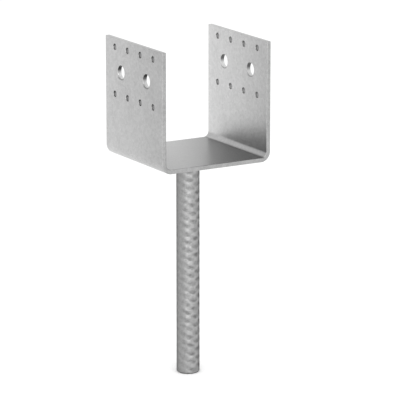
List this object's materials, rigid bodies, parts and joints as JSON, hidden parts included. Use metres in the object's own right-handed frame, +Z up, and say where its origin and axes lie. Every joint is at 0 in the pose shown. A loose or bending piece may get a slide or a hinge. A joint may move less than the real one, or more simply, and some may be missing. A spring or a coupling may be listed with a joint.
{
  "type": "timber post base",
  "caption": "U-shaped post base: a folded galvanised steel saddle with bolt and screw holes in its flanges, welded on a ribbed bar that is cast into a concrete footing.",
  "frame": {"origin": "middle of the seat's top face, between the flanges", "axes": "+Z up, away from the concrete; +X across the flanges, from one to the other; +Y along the flanges' width, with the front at -Y"},
  "size_m": [0.109, 0.1, 0.304],
  "materials": {
    "galvanised_sheet": "hot-dip galvanised, matt light grey",
    "galvanised_bar": "hot-dip galvanised over rolled ribs, a little darker",
    "galvanised_weld": "weld bead under zinc"
  },
  "bodies": {
    "root": {"saddle": "galvanised_sheet", "ribbed_bar": "galvanised_bar", "fillet_weld": "galvanised_weld"}
  },
  "joints": []
}
